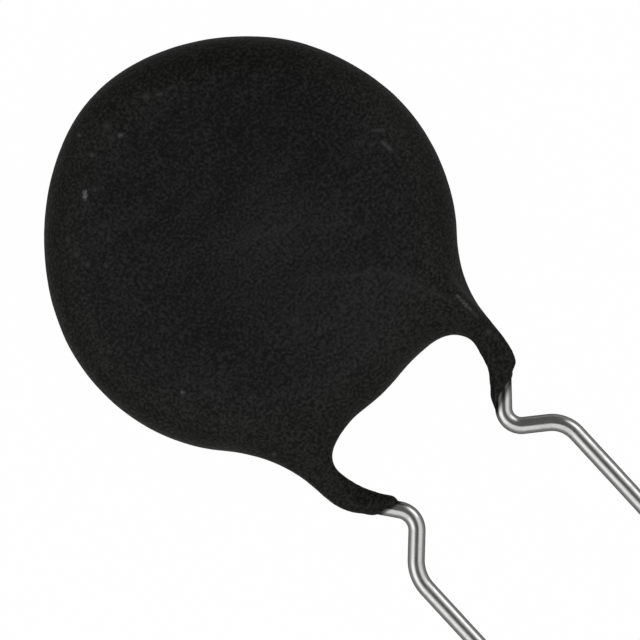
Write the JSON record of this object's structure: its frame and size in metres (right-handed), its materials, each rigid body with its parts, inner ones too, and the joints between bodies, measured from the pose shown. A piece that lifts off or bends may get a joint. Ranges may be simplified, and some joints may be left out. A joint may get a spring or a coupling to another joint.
{
  "type": "inrush current limiter",
  "caption": "Disc-shaped inrush current limiter with a dark dip-coated body, and kinked tinned wire leads for through-hole mounting.",
  "frame": {"origin": "midway between the two leads on the seating plane, where the kinks end; z = 0 is the middle of the body's thickness", "axes": "+Y from the seating plane towards the disc, leads along -Y; +Z out of the front face, on which the front lead runs; +X towards the front lead"},
  "size_m": [0.0194, 0.0522, 0.0056],
  "materials": {
    "ceramic": "sintered, matte",
    "silver": "fired silver, satin",
    "solder": "set solder, satin",
    "tinned_wire": "tinned copper, satin bright",
    "coating": "dip-coated resin, matte with a fine grain"
  },
  "bodies": {
    "root": {"ceramic_disc": "ceramic", "front_electrode": "silver", "rear_electrode": "silver", "front_solder": "solder", "rear_solder": "solder", "front_lead": "tinned_wire", "rear_lead": "tinned_wire", "coating": "coating"}
  },
  "joints": []
}
